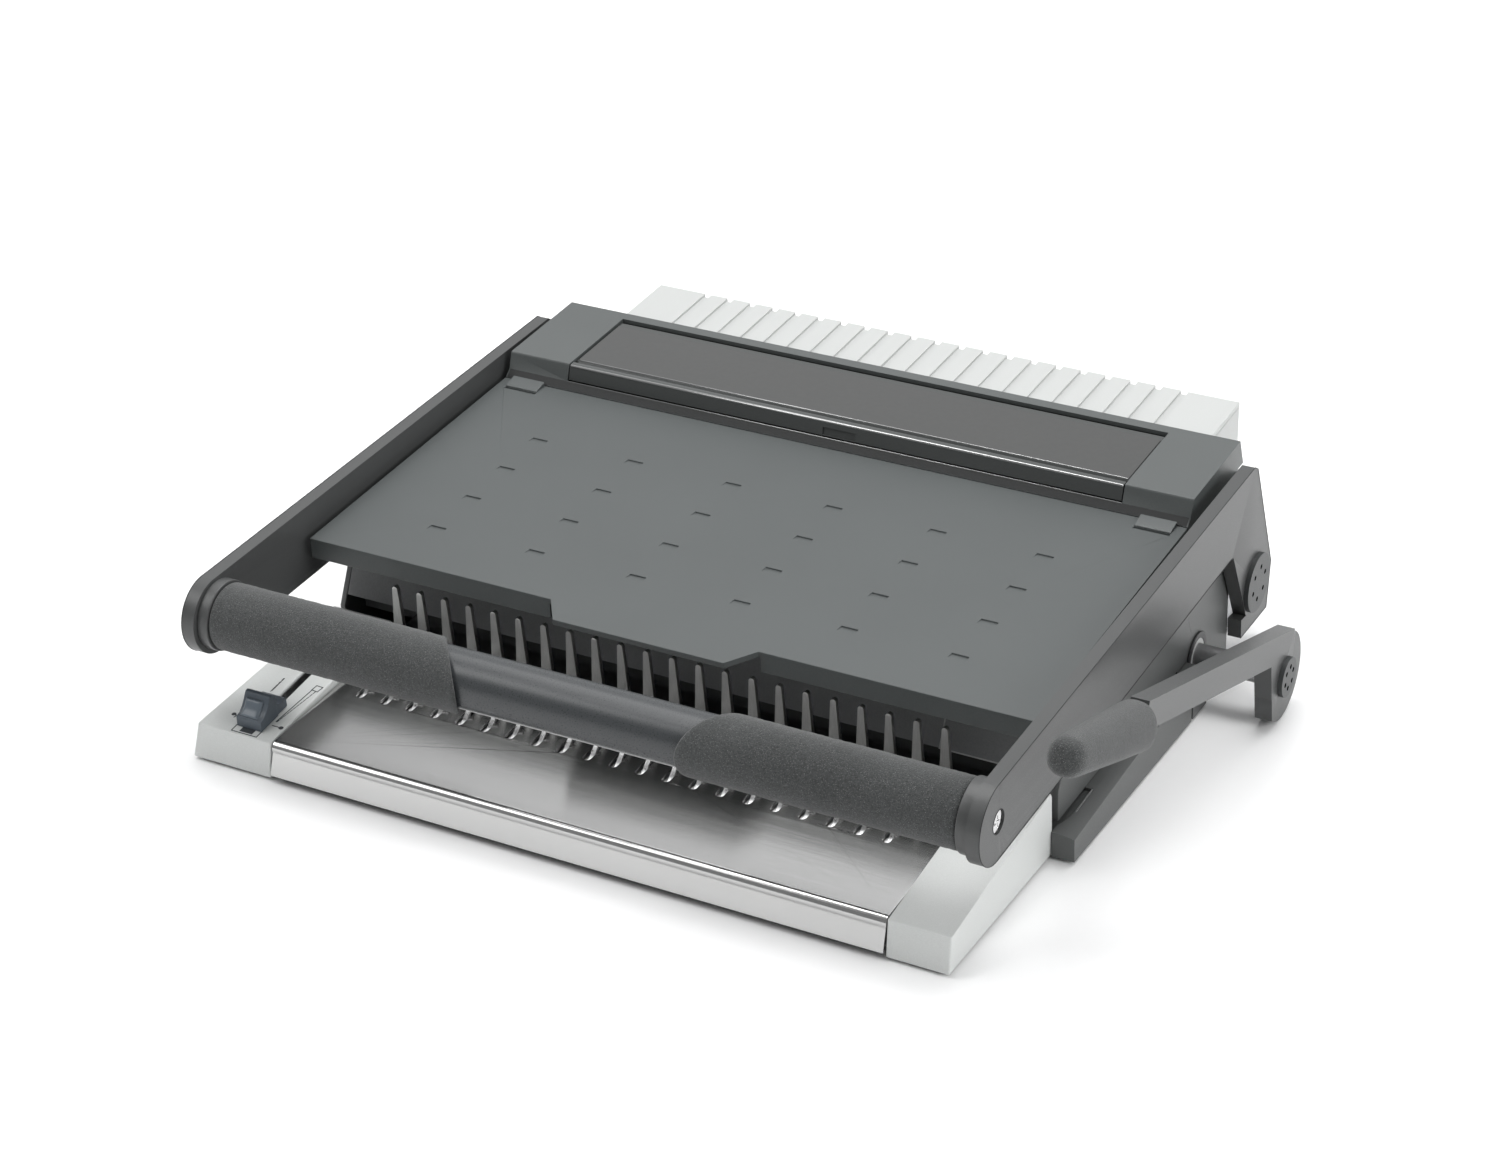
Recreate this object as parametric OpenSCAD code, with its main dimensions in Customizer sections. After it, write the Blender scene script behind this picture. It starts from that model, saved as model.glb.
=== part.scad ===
// Comb binding machine: steel work plate with comb hooks and fingers, U-shaped punch handle, bind lever,
// hinged hood lid and chip drawer. Everything is drawn in the machine frame (work plate top at z = 0, its
// front edge at y = 0) and then tilted onto the table.

/* [Stance] */
// Slope of the work plate and paper panel towards the user, degrees
deck_tilt = 4.7; // [3:0.1:7]
// Height of the plate's front edge above the table
deck_h = 20.5; // [16:0.5:26]

/* [Base] */
// Half width over the end caps and side cheeks
base_hw = 200; // [190:1:215]
// How far the right cheek leans out towards the back
side_lean = 3; // [0:0.5:3]
// How far the left cheek stands in from the half width
left_in = 3; // [0:0.5:3]
// Depth of the housing behind the hood
house_d = 38; // [30:1:50]
// Thickness of the bottom pan
pan_t = 2; // [1.5:0.5:3]
// Height of the rubber feet
foot_h = 1.5; // [1:0.25:2]
// Radius of the rubber feet
foot_r = 6; // [5:0.5:8]

/* [Work plate] */
// Spacing of the comb rings, 9/16 inch
pitch = 14.2875; // [14:0.0125:14.5]
// Distance from the outer hook to the plate's left edge
margin_l = 15.7; // [12:0.1:20]
// Distance from the outer hook to the plate's right edge
margin_r = 25.5; // [14:0.5:28]
// Sheet thickness
plate_t = 1.5; // [1:0.1:2]
// Front edge of the hook slots
slot_y0 = 51.5; // [50:0.5:60]
// Back edge of the hook slots
slot_y1 = 94; // [90:1:96]
// Width of the hook slots
slot_w = 4.2; // [3.8:0.1:4.5]
// Distance of the finger row from the plate's front edge
finger_y = 102; // [100:0.5:104]
// Height of the fingers above the plate
finger_h = 33.8; // [28:0.2:38]
// Thickness of the finger sheet
finger_t = 2.5; // [2:0.1:3]

/* [Top panel and hood] */
// Height of the paper panel above the plate
panel_z = 52.5; // [50:0.5:56]
// Front edge of the paper panel
panel_y = 97.5; // [95:0.5:100]
// Depth of the panel's front lip
lip_h = 11; // [9:0.5:13]
// Distance of the paper panel's sides inside the outer faces of the cheeks
panel_in = 4; // [2:0.5:8]
// Height of the hood's top above the plate
hood_z = 64.6; // [64:0.1:66]
// Back edge of the hood's top
hood_y = 356; // [354:0.5:360]
// Half width of the hood lid
lid_hw = 159; // [155:0.5:162]
// Hinge line of the lid, distance from the plate's front edge
lid_hinge_y = 347; // [346:0.5:348]

/* [Handle] */
// Pivot of the punch handle, distance from the plate's front edge
piv_y = 344; // [343:0.5:346]
// Pivot of the punch handle, height from the plate
piv_z = -8; // [-10:0.5:-6]
// Gap between the cheeks and the handle arms
arm_gap = 4; // [3.5:0.5:6]
// Offset of the handle's middle to the right of the comb's middle
hand_off = 2.05; // [0:0.05:2.5]
// Thickness of the handle arms
arm_t = 7; // [6:0.5:8]
// Grip tube centre, distance from the plate's front edge
tube_y = 25; // [22:0.5:30]
// Grip tube centre, height from the plate
tube_z = 49; // [46:0.5:52]
// Radius of the grip tube
tube_r = 14; // [13:0.25:15]
// Thickness of the foam on the tube
foam_t = 2.8; // [2:0.1:3.5]
// Radius of the handle shaft
shaft_r = 7; // [6:0.5:8]
// Eccentric throw that works the punches
throw = 3.26; // [3:0.02:3.3]

/* [Lever] */
// Pivot of the bind lever, distance from the plate's front edge
lev_y = 283; // [281:0.5:285]
// Pivot of the bind lever, height from the plate
lev_z = -19; // [-20:0.5:-18]
// Distance from the right cheek to the outer face of the bind lever
lev_out = 49.8; // [46:0.2:53]
// Thickness of the bind lever
lev_t = 9; // [8:0.5:10]
// Radius of the lever shaft
lshaft_r = 6.5; // [6:0.5:7.5]
// Radius of the lever's foam grip at its inner end
lgrip_r = 11.8; // [11:0.2:12.6]
// Radius of the lever's foam grip at its tip
lgrip_tip = 9.1; // [8:0.1:10]
// Crank radius that moves the hooks
crank_r = 24; // [22:0.5:25]

/* [Fits] */
// Radial clearance of running fits
run_c = 0.06; // [0.03:0.01:0.09]
// Gap between fixed neighbours
gap = 0.3; // [0.2:0.05:0.5]
// Gap around sliding pieces
slide_c = 0.35; // [0.3:0.05:0.5]

/* [Hidden] */
$fn = 64;
rings = 21;
finger_n = 22;
root_w = 3.4;
tip_r = 1.5;
rail_z = -3.4;
comb_hw = (rings - 1) / 2 * pitch;
rail_hw = comb_hw + pitch / 2 + root_w + 2.9;
hinge_z = hood_z - 3.9;
pin_d = 2.5;
lug_x = lid_hw + 4;
big = 900;
plate_l = comb_hw + margin_l;
plate_r = comb_hw + margin_r;
cheek_t = 6;
cheek_x = base_hw - cheek_t;
arm_x = base_hw + arm_gap - hand_off;
face_x = base_hw + side_lean;
lev_x = base_hw + lev_out;
panel_hw = base_hw - panel_in;
rear_y = hood_y + 22;
base_d = rear_y + house_d;
rack_hw = 173.5;
// the table in the machine frame
function floor_z(y) = -deck_h - y * tan(deck_tilt);
// tip, slope and length of the lever's foam grip
tip_y = 13.2;
tip_z = 98.6;
grip_a = 22;
grip_l = 88.3;
grip_c = lev_x - 5;
pan_top = foot_h + pan_t;
lift = deck_h * cos(deck_tilt);
// y of the front and back ends of the bounding box in the world, before centring
cap_lean = 8.4;
cap_low = 60;
skirt_y = -3.8;
skirt_z = -16.3;
front_w = skirt_y * cos(deck_tilt) - skirt_z * sin(deck_tilt);
back_w = base_d / cos(deck_tilt) + (deck_h * cos(deck_tilt) - foot_h) * tan(deck_tilt);
cap_t = 2.5;
wall = 2.5;
cap_d = 110;
hood_foot = 5.4;
x_lo = hand_off - arm_x - arm_t - cap_t;
x_hi = grip_c + lgrip_r;
x_mid = (x_lo + x_hi) / 2;
y_mid = (front_w + back_w) / 2;
cheek_y0 = 117;
cheek_y1 = 328;
bear_x = cheek_x - 8.3;
bear_t = 6;
bear_m = bear_x + bear_t / 2;
die_y0 = 302;
die_y1 = 329.5;
die_t = 5;
punch_y = 316;
die_z = panel_z - 0.2;
guide_z = die_z + 2.7;
guide_t = 1.2;
bar_z = guide_z + guide_t + 0.1;
bar_t = 1.7;
yoke_x = 150;
flange_y = 336.5;
yoke_t = 6;
unit_hw = bear_x - 10.7;
ecc_r = 12;
ecc_a = 32.5;
ecc_y = piv_y - throw * cos(ecc_a);
ecc_z = piv_z - throw * sin(ecc_a);
rod_x = 111;
rod_t = 6;
crank_a = 31;
pin_r = 4;
pin_y = lev_y - crank_r * sin(crank_a);
pin_z = lev_z + crank_r * cos(crank_a);
hook_y = 57;
slider_top = -3.4;
slider_hw = comb_hw + pitch / 2;
drawer_y0 = 108;
drawer_y1 = 256;
drawer_z = -15.3;
flange_t = 12;
grip_out = arm_x - 6;
grip_in = 69.2;
grip_run = 12.4;
grip_skew = 0.55;
sel_x = 4.5 - (plate_l + base_hw) / 2;
sel_y = 5.5;

// ---- placing ----
module m() {
    translate([-x_mid, -y_mid, lift])
        rotate([deck_tilt, 0, 0])
            children();
}
// the handle has its own middle
module h() {
    m()
        translate([hand_off, 0, 0])
            children();
}
module above(z) {
    intersection() {
        children();
        translate([-big / 2, -big / 2, z])
            cube([big, big, big]);
    }
}
// a profile in (y, z) drawn from x0 to x1
module prism(x0, x1) {
    translate([x0, 0, 0])
        rotate([90, 0, 90])
            linear_extrude(x1 - x0)
                children();
}
// a round bar along X
module bar_x(x0, x1, y, z, r) {
    translate([x0, y, z])
        rotate([0, 90, 0])
            cylinder(h = x1 - x0, r = r);
}
module box(x0, x1, y0, y1, z0, z1) {
    translate([x0, y0, z0])
        cube([x1 - x0, y1 - y0, z1 - z0]);
}
module slot2d(w, y0, y1) {
    translate([-w / 2, y0 + w / 2])
        square([w, y1 - y0 - w]);
    translate([0, y0 + w / 2])
        circle(d = w, $fn = 32);
    translate([0, y1 - w / 2])
        circle(d = w, $fn = 32);
}

// ---- base ----
module base_pan() color("#3a3d3f") {
    difference() {
        translate([-x_mid, -y_mid, foot_h])
            linear_extrude(pan_t)
                polygon([[-plate_l + gap, 6], [plate_r - gap, 6], [plate_r - gap, cap_d + 3],
                    [cheek_x - gap, cap_d + 3],
                    [cheek_x - gap, rear_y - gap], [rack_hw - wall - gap, rear_y - gap],
                    [rack_hw - wall - gap, back_w - wall - 1],
                    [-rack_hw + wall + gap, back_w - wall - 1], [-rack_hw + wall + gap, rear_y - gap],
                    [-cheek_x + gap, rear_y - gap],
                    [-cheek_x + gap, cap_d + 3], [-plate_l + gap, cap_d + 3]]);
        for (p = foot_at)
            translate([p[0] - x_mid, p[1] - y_mid, 0])
                cylinder(h = 10, r = stem_r);
    }
}
foot_x = cheek_x - 8;
foot_at = [[-118, 14], [118, 14], [-foot_x, 130], [foot_x, 130], [-foot_x, 258], [foot_x, 258],
    [-rack_hw + 13.5, rear_y + 17], [rack_hw - 13.5, rear_y + 17]];
stem_r = 2;
module feet() color("#1d1e1f") {
    for (p = foot_at)
        translate([p[0] - x_mid, p[1] - y_mid, 0]) {
            cylinder(h = foot_h, r = foot_r);
            cylinder(h = pan_top, r = stem_r);
        }
}
cap_s = 3.9;
cap_w = 2.5;
function cap_z(y) = y * tan(cap_s);
module cap_profile(i) {
    top = cap_z(cap_d - 2);
    polygon([[i - cap_lean, -cap_low], [i, -i], [cap_d - 2 - i, top - i], [cap_d - i, top - 4 - i],
        [cap_d + 1.5 - i, -cap_low]]);
}
module cap_shell(x0, x1, flare) {
    difference() {
        prism(x0 - flare, x1)
            cap_profile(0);
        prism(x0 + cap_w + flare, x1 - cap_w)
            cap_profile(cap_w);
        // the outer side leans out towards the table and in towards the back
        if (flare > 0)
            translate([x0 - 0.7, 0, 0])
                rotate([0, 0, -3.1])
                    rotate([0, 10, 0])
                        translate([-50, -50, -90])
                            cube([50, 300, 180]);
    }
}
module left_end_cap() color("#c2c6c6") above(foot_h) m() {
    difference() {
        cap_shell(-base_hw - 1, -plate_l - 0.6, 5);
        rotate([cap_s, 0, 0])
            translate([sel_x, 0, -6])
                linear_extrude(12)
                    slot2d(5, sel_y + 11, sel_y + 62);
    }
    box(-plate_l - 0.8, -plate_l + 4, 4, 96, -4, -plate_t - gap);
}
module right_end_cap() color("#c2c6c6") above(foot_h) m() {
    cap_shell(plate_r + 0.6, base_hw, 0);
    box(plate_r - 4, plate_r + 0.8, 4, 96, -4, -plate_t - gap);
}
bend_r = 4;
skirt_a = 20;
function skirt_top(r) = [bend_r - r * cos(skirt_a), -bend_r - r * sin(skirt_a)];
module work_plate() color("#b9bcbd") m() {
    difference() {
        translate([-plate_l, bend_r, -plate_t])
            cube([plate_l + plate_r, 133 - bend_r, plate_t]);
        translate([0, 0, -5])
            linear_extrude(10)
                for (i = [0:rings - 1])
                    translate([(i - (rings - 1) / 2) * pitch, 0])
                        slot2d(slot_w, slot_y0, slot_y1);
        for (i = [0:finger_n - 1])
            translate([(i - (finger_n - 1) / 2) * pitch - 4, finger_y - finger_t / 2 - gap, -5])
                cube([8, finger_t + 2 * gap, 10]);
    }
    // rounded bend, then the front skirt
    prism(-plate_l, plate_r) {
        difference() {
            translate([bend_r, -bend_r])
                circle(r = bend_r);
            translate([bend_r, -bend_r])
                circle(r = bend_r - plate_t);
            translate([bend_r, -2 * bend_r])
                square(3 * bend_r);
            polygon([[bend_r, -bend_r], [-bend_r, -bend_r * (1 + 2 * tan(skirt_a))],
                [-bend_r, -4 * bend_r], [bend_r, -4 * bend_r]]);
        }
        polygon([skirt_top(bend_r), skirt_top(bend_r - plate_t), [skirt_y + plate_t, skirt_z],
            [skirt_y, skirt_z]]);
    }
}
module fingers() color("#a9acad") m() {
    translate([0, finger_y - finger_t / 2, 0])
        rotate([90, 0, 0])
            mirror([0, 0, 1])
                linear_extrude(finger_t)
                    for (i = [0:finger_n - 1])
                        translate([(i - (finger_n - 1) / 2) * pitch, 0]) {
                            polygon([[-root_w, rail_z], [root_w, rail_z], [root_w, 0],
                                [tip_r, finger_h - tip_r],
                                [-tip_r, finger_h - tip_r], [-root_w, 0]]);
                            translate([0, finger_h - tip_r])
                                circle(r = tip_r, $fn = 32);
                        }
}
module finger_rail() color("#8f9294") m() {
    box(-rail_hw, rail_hw, finger_y - 3, finger_y + 3, rail_z - 3, rail_z);
    for (s = [-1, 1])
        box(s * (rail_hw - 1) - 1, s * (rail_hw - 1) + 1, finger_y - 3, finger_y + 3, rail_z - 1,
            -plate_t - gap);
}
// ---- side cheeks and front wall ----
deck_z = panel_z - 3 - gap;
bush_r = 9.1;
collar_r = 12.6;
tongue_y = panel_y - 15.5;
panel_y1 = 284;
module cheek_profile() {
    polygon([[cheek_y0, -60], [cheek_y0, 3], [cheek_y0 + 24.8, deck_z], [hood_y - 4, deck_z], [hood_y, 38],
        [hood_y - 4, 30], [cheek_y1, 22], [cheek_y1, -60]]);
}
module left_cheek() color("#4b4f51") above(foot_h) m() {
    prism(left_in - base_hw, -cheek_x)
        cheek_profile();
}
module right_cheek() color("#4b4f51") above(foot_h) m() {
    difference() {
        intersection() {
            prism(cheek_x, face_x)
                cheek_profile();
            translate([0, 0, -big / 2])
                linear_extrude(big)
                    polygon([[cheek_x - 1, cheek_y0 - 1], [base_hw, cheek_y0 - 1], [face_x, drawer_y1 - 6],
                        [face_x, hood_y + 1], [cheek_x - 1, hood_y + 1]]);
        }
        box(cheek_x - 1, face_x + 1, cheek_y0 - 2, drawer_y1 + 2, -70, drawer_z + 1.3);
        bar_x(cheek_x - 1, face_x + 1, lev_y, lev_z, bush_r);
    }
}
module front_wall() color("#3c4041") m() {
    prism(-cheek_x + gap, cheek_x - gap)
        polygon([[cheek_y0 + 2.5, 8], [cheek_y0 + 24.6, deck_z], [cheek_y0 + 27.4, deck_z],
            [cheek_y0 + 6.6, 10.5],
            [136, 10.5], [136, -6.9], [133.5, -6.9], [133.5, 8]]);
}
module side_ledge() color("#4b4f51") above(foot_h) m() {
    difference() {
        box(face_x, base_hw + flange_t, drawer_y1 + 2.2, 277, -60, drawer_z);
        bar_x(base_hw - 1, base_hw + flange_t + 1, lev_y, lev_z, collar_r + 1);
    }
}
// ---- paper panel, edge stops ----
module panel_outline(i) {
    polygon([[-panel_hw + i, panel_y + i], [-56.4 + i * 0.55, panel_y + i], [-46 + i * 0.55, tongue_y + i],
        [46 - i * 0.55, tongue_y + i], [56.4 - i * 0.55, panel_y + i], [panel_hw - i, panel_y + i],
        [panel_hw - i, panel_y1 - i * 0.2], [-panel_hw + i, panel_y1 - i * 0.2]]);
}
mark_x = 57.2;
stop_x = panel_hw - 15;
mark_y = 32.8;
mark_back = 232.3;
mark_d = 0.9;
module top_panel() color("#5c6163") m() {
    difference() {
        translate([0, 0, panel_z - 3])
            linear_extrude(3)
                panel_outline(0);
        for (c = [0:5])
            for (r = [0:3])
                prism((c - 2.5) * mark_x - 4.5, (c - 2.5) * mark_x + 4.5)
                    translate([mark_back - r * mark_y, panel_z])
                        polygon([[-6, 0.1], [-5, 0], [0, -mark_d], [0, 1]]);
        for (s = [-1, 1])
            translate([s * stop_x - 9.6, 273.4, panel_z - 1.2])
                cube([19.2, 1.8, 3]);
    }
    // front lip
    difference() {
        translate([0, 0, panel_z - lip_h])
            linear_extrude(lip_h - 2)
                difference() {
                    panel_outline(0);
                    panel_outline(2.2);
                }
        box(-panel_hw - 1, panel_hw + 1, cheek_y0 - 2, 300, 0, panel_z - 3);
        box(-57.2, 57.2, 0, 300, 0, panel_z - 3);
    }
    // side rails inside the cheeks
    for (s = [-1, 1])
        box(s * (cheek_x - 2.5) - 1, s * (cheek_x - 2.5) + 1, 146, 282, panel_z - lip_h, panel_z - 2.9);
}
module edge_stops() color("#53585a") m() {
    for (s = [-1, 1])
        prism(s * stop_x - 9.6, s * stop_x + 9.6)
            polygon([[275.4, panel_z], [panel_y1, panel_z], [panel_y1, panel_z + 2.2], [277, panel_z + 1.1],
                [275.4, panel_z + 0.4]]);
}
// ---- hood and lid ----
sill_y = 288.3;
sill_z = panel_z + 3.3;
face_y = 291.3;
lid_y0 = sill_y + 0.8;
lid_z0 = sill_z + 0.6;
// how far the lid's front leans back
lid_a = atan((face_y - lid_y0) / (hood_z - 1.2 - lid_z0));
module hood() color("#5c6163") m() {
    difference() {
        prism(-panel_hw, panel_hw)
            polygon([[panel_y1 + gap, panel_z - 3], [panel_y1 + gap, panel_z + 0.2],
                [sill_y, sill_z], [face_y, hood_z - 1], [face_y + 0.8, hood_z], [hood_y, hood_z],
                [hood_y + hood_foot, panel_z - 3]]);
        prism(-panel_hw + wall, panel_hw - wall)
            polygon([[293.6, die_z], [298, hood_z - wall],
                [hood_y - 1.8, hood_z - wall], [hood_y + hood_foot - 2, panel_z - 4], [301.7, panel_z - 4],
                [301.7, die_z]]);
        box(-lid_hw - 0.7, lid_hw + 0.7, sill_y, lid_hinge_y + 2.6, die_z, hood_z + 5);
        box(-lid_hw - 0.7, lid_hw + 0.7, 280, lid_hinge_y, sill_z, hood_z + 5);
    }
    for (s = [-1, 1])
        difference() {
            box(s * lug_x - 3, s * lug_x + 3, lid_hinge_y - 2.6, lid_hinge_y + 2.6, hinge_z - 2.7,
                hood_z - 2.4);
            bar_x(s * lug_x - 4, s * lug_x + 4, lid_hinge_y, hinge_z, pin_d / 2);
        }
}
lid_t = 1.5;
lid_z = hood_z - 1.4;
module rotate_from(y, z, a) {
    translate([0, y, z])
        rotate([-a, 0, 0])
            children();
}
module hood_lid() color("#6a6866") m() {
    difference() {
        union() {
            prism(-lid_hw, lid_hw)
                polygon([[lid_hinge_y, lid_z], [299, lid_z], [298.2, lid_z - 1.1], [296.4, lid_z - 1.1],
                    [295.6, lid_z + 0.7], [294.9, hood_z - 0.4], [face_y + 0.9, hood_z - 0.4],
                    [face_y, hood_z - 1.2], [lid_y0, lid_z0], [lid_y0 + 2.4, lid_z0],
                    [295.4, lid_z - lid_t - 1.6], [300, lid_z - lid_t], [lid_hinge_y, lid_z - lid_t]]);
            bar_x(-lid_hw, lid_hw, lid_hinge_y, hinge_z, 2.2);
        }
        bar_x(lid_hw - 9, lid_hw + 1, lid_hinge_y, hinge_z, pin_d / 2 + run_c);
        bar_x(-lid_hw - 1, -lid_hw + 9, lid_hinge_y, hinge_z, pin_d / 2 + run_c);
        rotate_from(lid_y0, lid_z0, lid_a)
            box(-7.2, 11.6, -2, 0.9, 0.7, 4.5);
    }
}
module lid_pins() color("#9b9d9e") m() {
    for (s = [-1, 1])
        bar_x(s * (lid_hw - 0.5) - 7, s * (lid_hw - 0.5) + 7, lid_hinge_y, hinge_z, pin_d / 2);
}
// ---- rear ----
house_top = rear_y - 14.1;
module back_panel() color("#3c4041") above(pan_top + 0.2) m() {
    prism(-cheek_x + 2, cheek_x - 2)
        polygon([[rear_y - 3, -70], [rear_y - 0.5, -70], [rear_y - 0.5, 9.8], [house_top, deck_z],
            [house_top - 2.8, deck_z], [rear_y - 3, 9.4]]);
}
module rear_housing() color("#d4d7d6") above(foot_h) m() {
    difference() {
        prism(-rack_hw, rack_hw)
            polygon([[rear_y, -80], [base_d, -80], [base_d, panel_z - 2.8], [house_top + 0.5, panel_z - 2.8],
                [rear_y, 10]]);
        prism(-rack_hw + wall, rack_hw - wall)
            polygon([[rear_y + wall, -81], [base_d - wall, -81], [base_d - wall, panel_z - 5.3],
                [house_top + 4.1, panel_z - 5.3], [rear_y + wall, 10.5]]);
        // open at the front where the pan runs in
        box(-rack_hw + wall, rack_hw - wall, rear_y - 1, rear_y + wall + 1, -90, 8);
    }
}
module comb_rack() color("#e2e4e3") m() {
    difference() {
        box(-rack_hw, rack_hw, hood_y + 6, base_d, panel_z - 2.5, panel_z);
        for (i = [0:rings - 1])
            translate([(i - (rings - 1) / 2) * pitch - 2, hood_y + 4, panel_z - 1.3])
                cube([4, house_d + 40, 3]);
        for (i = [0:rings - 1])
            translate([(i - (rings - 1) / 2) * pitch - 2, base_d - 1.6, panel_z - 5])
                cube([4, 3, 8]);
    }
}
// ---- punch unit ----
module bearing_plate() {
    difference() {
        polygon([[262, -70], [262, 14], [300, die_z - die_t - gap], [350, die_z - die_t - gap], [356, 36],
            [374, -2], [374, -70]]);
        translate([piv_y, piv_z])
            circle(r = 11);
        translate([lev_y, lev_z])
            circle(r = 12);
    }
}
module left_bearing_plate() color("#8a8d8f") above(pan_top) m() {
    prism(-bear_x - bear_t, -bear_x)
        bearing_plate();
}
module right_bearing_plate() color("#8a8d8f") above(pan_top) m() {
    prism(bear_x, bear_x + bear_t)
        bearing_plate();
}
module handle_bushes() color("#b08d4a") m() {
    for (s = [-1, 1])
        difference() {
            bar_x(s * bear_m - 3.3, s * bear_m + 3.3, piv_y, piv_z, 10.98);
            bar_x(s * bear_m - 4, s * bear_m + 4, piv_y, piv_z, shaft_r + run_c);
        }
}
module punch_holes(c) {
    for (i = [0:rings - 1])
        translate([(i - (rings - 1) / 2) * pitch - 4 - c, punch_y - 1.4 - c, 0])
            cube([8 + 2 * c, 2.8 + 2 * c, 90]);
}
post_x = unit_hw - 6;
post_r = 3;
module posts(r) {
    for (s = [-1, 1])
        translate([s * post_x, punch_y, 0])
            cylinder(h = 90, r = r);
}
module die_plate() color("#9a9da0") m() {
    difference() {
        box(-bear_x - bear_t + 0.2, bear_x + bear_t - 0.2, die_y0, die_y1, die_z - die_t, die_z);
        punch_holes(0.1);
        posts(post_r);
        for (s = [-1, 1])
            for (y = [308, 324])
                translate([s * bear_m, y, 40])
                    cylinder(h = 30, r = 2.05);
    }
}
module guide_plate() color("#85898c") m() {
    difference() {
        box(-unit_hw, unit_hw, 304, 328, guide_z, guide_z + guide_t);
        punch_holes(0.1);
        posts(post_r);
    }
}
module back_stop() color("#85898c") m() {
    difference() {
        union() {
            box(12 - unit_hw, unit_hw - 12, 321.5, 324, die_z, guide_z);
            for (s = [-1, 1])
                box(s * post_x - 6, s * post_x + 6, 304, 324, die_z, guide_z);
        }
        posts(post_r);
    }
}
module guide_pins() color("#c0c3c5") m() {
    intersection() {
        posts(post_r);
        box(-200, 200, 300, 330, die_z - die_t, bar_z + bar_t + 2.8);
    }
}
module punch_bar() color("#777b7e") m() {
    difference() {
        box(-unit_hw, unit_hw, 311, flange_y, bar_z, bar_z + bar_t);
        punch_holes(0);
        posts(post_r + run_c);
    }
    box(-162, 162, flange_y - 3, flange_y, 28, bar_z + 0.1);
}
module punches() color("#c8cbcd") m() {
    intersection() {
        punch_holes(0);
        box(-200, 200, 300, 330, die_z - 0.7, bar_z + bar_t);
    }
}
module yokes() color("#8f9295") m() {
    for (s = [-1, 1])
        prism(s * yoke_x - yoke_t / 2, s * yoke_x + yoke_t / 2)
            difference() {
                polygon([[ecc_y - 14, ecc_z - 16], [ecc_y + 15, ecc_z - 16], [ecc_y + 15, ecc_z + 14],
                    [341, 14],
                    [341, 45], [flange_y, 45], [flange_y, 28], [flange_y - 3.1, 28], [328, 22],
                    [ecc_y - 14, 6]]);
                translate([ecc_y, ecc_z])
                    circle(r = ecc_r + run_c);
                translate([ecc_y - 0.75, ecc_z])
                    circle(r = ecc_r + run_c);
                translate([ecc_y - 0.75, ecc_z - ecc_r - run_c])
                    square([0.75, 2 * (ecc_r + run_c)]);
            }
}
module die_screws() color("#2b2c2d") m() {
    for (s = [-1, 1])
        for (y = [308, 324])
            translate([s * bear_m, y, 0]) {
                translate([0, 0, die_z - die_t - 0.2])
                    cylinder(h = die_t + 0.3, r = 2);
                difference() {
                    translate([0, 0, die_z])
                        cylinder(h = 4, r = 3.5);
                    translate([0, 0, die_z + 2])
                        cylinder(h = 3, r = 1.7, $fn = 6);
                }
            }
}
// ---- punch handle ----
module handle_shaft() color("#b6b9bb") h() {
    bar_x(-arm_x - arm_t, arm_x + arm_t, piv_y, piv_z, shaft_r);
}
module eccentrics() color("#9fa2a4") m() {
    for (s = [-1, 1])
        difference() {
            bar_x(s * yoke_x - yoke_t / 2, s * yoke_x + yoke_t / 2, ecc_y, ecc_z, ecc_r);
            bar_x(s * yoke_x - yoke_t, s * yoke_x + yoke_t, piv_y, piv_z, shaft_r);
        }
}
// spacers fill the shaft between the bushes and the arms
module shaft_spacers() color("#2e3032") m() {
    for (s = [-1, 1]) {
        x_in = bear_x + bear_t + 2 * gap;
        x_out = arm_x + s * hand_off - gap;
        mid = s * (x_in + x_out) / 2;
        half = (x_out - x_in) / 2;
        difference() {
            bar_x(mid - half, mid + half, piv_y, piv_z, 9.4);
            bar_x(mid - half - 1, mid + half + 1, piv_y, piv_z, shaft_r);
        }
    }
}
end_r = 19.6;
tube_w = 2;
ring_x = arm_x - 3;
module arm_profile() {
    difference() {
        union() {
            translate([tube_y - 0.6, tube_z - 0.4])
                circle(r = end_r);
            polygon([[tube_y - 0.8, tube_z + 19.2], [piv_y - 7, piv_z + 70.6], [piv_y - 2.5, piv_z + 67.6],
                [piv_y + 23.9, piv_z - 0.2], [piv_y + 20, piv_z - 26.5], [piv_y - 17.5, piv_z - 24.1],
                [piv_y - 18.1, piv_z - 13], [piv_y - 11.4, piv_z - 14], [piv_y - 33.8, piv_z + 32.5],
                [piv_y - 37, piv_z + 33.4], [tube_y - 0.8, tube_z - 20]]);
        }
        translate([piv_y, piv_z])
            circle(r = shaft_r);
        translate([tube_y, tube_z])
            circle(r = 3.1);
    }
}
module left_arm() color("#55595b") h() {
    difference() {
        prism(-arm_x - arm_t, -arm_x)
            arm_profile();
        bar_x(-arm_x - arm_t - 1, -arm_x - arm_t + 3.6, tube_y, tube_z, 5.8);
    }
}
module right_arm() color("#55595b") h() {
    difference() {
        prism(arm_x, arm_x + arm_t)
            arm_profile();
        bar_x(arm_x + arm_t - 3.6, arm_x + arm_t + 1, tube_y, tube_z, 5.8);
    }
}
module handle_tube() color("#5d6265") h() {
    difference() {
        bar_x(-arm_x, arm_x, tube_y, tube_z, tube_r);
        bar_x(-arm_x - 1, arm_x + 1, tube_y, tube_z, tube_r - tube_w);
    }
}
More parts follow.
